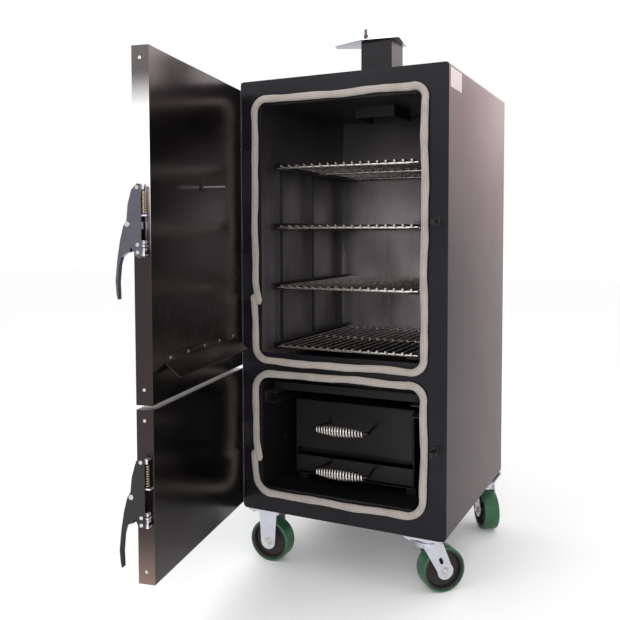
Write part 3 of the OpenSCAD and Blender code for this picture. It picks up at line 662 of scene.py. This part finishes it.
def wheel(place):
    joint = JOINTS[f"wheel_{place}_spin"]
    centre, axis = Vector(joint["pos_m"]), Vector(joint["axis"])
    tread_r, core_r, half = 63.5, 57.0, 25.5
    edge = [(tread_r - 4.5 + 4.5 * math.cos(math.radians(a)), half - 4.5 + 4.5 * math.sin(math.radians(a)))
            for a in range(75, -1, -15)]
    outer = [(core_r, half - 2.5), (core_r + 0.8, half - 0.5)] + edge
    profile = outer + [(r, -h) for r, h in reversed(outer)] + [outer[0]]
    tread = spun(f"tread_{place}", profile, centre, axis, 72)
    finish_piece(tread, f"wheel_{place}", "green_tread", nodes=(f"wheel_tread_{place}",))
    face = [(6.1, half), (15, half), (16.5, half - 1.5), (17.5, 12), (21, 8), (27, 6.5), (44, 6.5), (48, 8),
            (50.5, 12), (51.5, half - 3), (53, half - 1.6), (core_r - 0.1, half - 1.8)]
    core = spun(f"core_{place}", face + [(r, -h) for r, h in reversed(face)] + [face[0]], centre, axis, 72)
    finish_piece(core, f"wheel_{place}", "wheel_iron", nodes=(f"wheel_core_{place}",))


for place in ("front_left", "rear_left", "front_right", "rear_right"):
    wheel(place)


# ---- what shows between the latches' cheeks ----

LATCH_X = 604.2
LATCH_WORKS_Y = -25
# corners in millimetres: x from the latch's middle, y from the cabinet's front, z from the latch's middle
BRACKETS = (
    ((-9, -31, -80), (9, -19, -76)),
    ((-9, -31, -60), (9, -19, -56)),
    ((-9, -31, 75), (9, -19, 79)),
    ((5, -30, 68), (8, -20, 77)),
    ((-9, -31, 8.5), (9, -14, 12)),
    ((5, -30, -78), (8, -20, -70)),
)


def return_spring(door, middle):
    turns, steps, radius, wire = 9, 16, 4.6, 1.1
    points = []
    for k in range(turns * steps + 1):
        a = 2 * math.pi * k / steps
        x, y = LATCH_X + radius * math.cos(a), LATCH_WORKS_Y + radius * math.sin(a)
        points.append(at(x, y, middle + 16 + 50 * k / (turns * steps)))
    return sweep(f"{door}_spring", points, wire * MM, 6)


def latch_works(door):
    """A return spring, two rollers and bright brackets, made at the closed door and swung open."""
    middle = joint_place(f"{door}_latch_pivot").z / MM - BODY_CORNER.z / MM + 9
    copper = plated(f"{door}_spring_wire", (0.5, 0.36, 0.27), 0.25, 0.3)
    finish_piece(swing(return_spring(door, middle)), f"{door}_door", "bright_fasteners", copper)
    bright = []
    for low, high in BRACKETS:
        bright.append(block("bracket", (LATCH_X + low[0], low[1], middle + low[2]),
                            (LATCH_X + high[0], high[1], middle + high[2]), 0.5))
    roller = [(0.01, -7), (4.2, -7), (5, -6.2), (5, 6.2), (4.2, 7), (0.01, 7), (0.01, -7)]
    for z in (-66, -50):
        bright.append(spun("roller", roller, at(LATCH_X, LATCH_WORKS_Y, middle + z), (1, 0, 0), 32))
    finish_piece(swing(join(bright, f"{door}_latch_bright")), f"{door}_door", "bright_fasteners",
                 MATERIALS["cap_steel"])


latch_works("upper")
latch_works("lower")


def stem_grommet():
    """The collar round the thermometer's stem, on the upper door's inner sheet."""
    ring = spun("stem_grommet", [(3.2, 0), (10.2, 0), (10.4, 2), (8.5, 4.6), (5, 5.2), (3.2, 5.2), (3.2, 0)],
                at(306, -15, 954), (0, 1, 0), 40)
    finish_piece(swing(ring), "upper_door", "black_steel")


stem_grommet()


# ---- drawer grips: barrels of coiled wire ----

def coil_grip(name, body, node):
    """A barrel of wound wire along a grip's CAD solid."""
    low, high = span(node)
    turns, wire, per_turn = 17, 3.0, 22
    ends, middle = 10.5, 19.0
    y, z = (low.y + high.y) / 2, (low.z + high.z) / 2
    points = []
    for k in range(turns * per_turn + 1):
        u = k / (turns * per_turn)
        x = low.x + wire + u * (high.x - low.x - 2 * wire)
        r = ends + (middle - ends) * math.sin(math.pi * u) - wire
        a = 2 * math.pi * k / per_turn
        points.append(at(x, y + r * math.cos(a), z + r * math.sin(a)))
    piece = sweep(name, points, wire * MM, 8, up=Vector((1, 0, 0)))
    finish_piece(piece, body, "nickel_wire", nodes=(node,))


coil_grip("fuel_grip_coil", "fuel_drawer", "fuel_drawer_grip")
coil_grip("ash_grip_coil", "ash_drawer", "ash_drawer_grip")


def bent_rod(name, body, node, grip_node):
    """The rod through the coil, flaring out of its two feet and bending along the coil's middle."""
    low, high = span(node)
    grip_low, grip_high = span(grip_node)
    middle = (low.x + high.x) / 2
    y, z = (grip_low.y + grip_high.y) / 2, (grip_low.z + grip_high.z) / 2
    half = (high.x - low.x) / 2 - 10
    foot, turn = half - 12, 16
    path = [(-foot, high.y), (-foot - 2, high.y - 20)]
    for degrees in range(0, 91, 15):
        a = math.radians(degrees)
        path.append((-half + turn * (1 - math.cos(a)), y + turn * (1 - math.sin(a))))
    path += [(0.0, y)] + [(-x, d) for x, d in reversed(path)]
    rod = sweep(name, [at(middle + x, d, z) for x, d in path], 4.9 * MM, 16)
    feet = []
    for side in (-1, 1):
        centre = at(middle + side * foot, high.y, z)
        feet.append(spun("foot", [(0.01, 0), (10, 0), (10, 1.6), (8.6, 3.2), (0.01, 3.4), (0.01, 0)],
                         centre, (0, -1, 0), 32))
    finish_piece(join([rod] + feet, name), body, "black_steel", nodes=(node,))


bent_rod("fuel_handle_rod", "fuel_drawer", "fuel_drawer_handle", "fuel_drawer_grip")
bent_rod("ash_handle_rod", "ash_drawer", "ash_drawer_handle", "ash_drawer_grip")


# ---- rating plate ----

def rating_plate():
    """A blank plate near the top front corner of the right side."""
    low, high = span("outer_shell")
    near, far = low.y + 11, low.y + 121
    plate = block("rating_plate", (high.x, near, high.z - 63), (high.x + 0.8, far, high.z - 11), 0.3)
    material = brushed("plate_steel", (0.62, 0.55, 0.51), 0.4, (30, 30, 600), 0.86, 0.2)
    finish_piece(plate, "cabinet", "cap_steel", material)


rating_plate()


# ---- thermometer dial ----

def thermometer_dial():
    needle = joint_place("needle_pivot")
    normal = Vector(JOINTS["needle_pivot"]["axis"])
    r = 33.8
    disc = [(1.1, 0), (r, 0), (r, 0.5), (1.1, 0.5), (1.1, 0)]
    face = spun("dial_face", disc, needle - normal * 0.0045, normal)
    finish_piece(face, "upper_door", "cap_steel", plain("dial_white", (0.8, 0.79, 0.76), 0.5))
    lens = [(0.01, 9), (20, 8.6), (r, 7.4), (r, 6.2), (20, 7.2), (0.01, 7.6), (0.01, 9)]
    glass = spun("dial_glass", lens, needle - normal * 0.003, normal)
    finish_piece(glass, "upper_door", "door_steel", clear_glass())


thermometer_dial()


# ---- stage, light and camera ----

def stage():
    bpy.ops.object.select_all(action="DESELECT")
    bpy.ops.mesh.primitive_plane_add(size=30, location=(0, 0, 0))
    floor = bpy.context.object
    floor.name = "floor"
    paint = Paint("floor_white", (0.985, 0.985, 0.985), 0.6)
    paint.set("Roughness", 0.55 + 0.1 * paint.noise(3.0))
    floor.data.materials.append(paint.material)


def sky():
    world = bpy.data.worlds.new("studio")
    bpy.context.scene.world = world
    world.use_nodes = True
    background = world.node_tree.nodes["Background"]
    background.inputs["Color"].default_value = (1.0, 1.0, 1.0, 1.0)
    background.inputs["Strength"].default_value = 1.0


def front_lights():
    softbox("key", at(-900, -2600, 2900), at(300, 0, 700), (2.2, 2.2), 36)
    softbox("front_fill", at(1700, -3000, 1300), at(300, 300, 700), (1.2, 1.2), 38)
    softbox("mauve_card", at(1500, 2600, 2300), at(650, 400, 1000), (1.6, 1.0), 9, (1.0, 0.8, 0.79))


def softbox(name, place, target, size, power, color=(1, 1, 1)):
    data = bpy.data.lights.new(name, "AREA")
    data.shape = "RECTANGLE"
    data.size, data.size_y = size
    data.energy = power
    data.color = color
    lamp = bpy.data.objects.new(name, data)
    lamp.location = place
    lamp.rotation_euler = (Vector(target) - Vector(place)).to_track_quat("-Z", "Y").to_euler()
    bpy.context.scene.collection.objects.link(lamp)


def camera():
    """The viewpoint, from the body's corner in millimetres, and the way it looks."""
    yaw, pitch, roll = -0.4545, -0.0506, 0.0025
    data = bpy.data.cameras.new("camera")
    data.sensor_width = 36.0
    data.lens = 44.27
    data.shift_x = -0.0054
    data.shift_y = -0.0603
    eye = bpy.data.objects.new("camera", data)
    forward = Vector((math.sin(yaw) * math.cos(pitch), math.cos(yaw) * math.cos(pitch), math.sin(pitch)))
    eye.location = at(1199.2, -1964.9, 832.1)
    eye.rotation_euler = forward.to_track_quat("-Z", "Y").to_euler()
    eye.rotation_euler.rotate_axis("Z", -roll)
    bpy.context.scene.collection.objects.link(eye)
    bpy.context.scene.camera = eye


bpy.context.scene.view_settings.view_transform = "Standard"
stage()
sky()
front_lights()
camera()
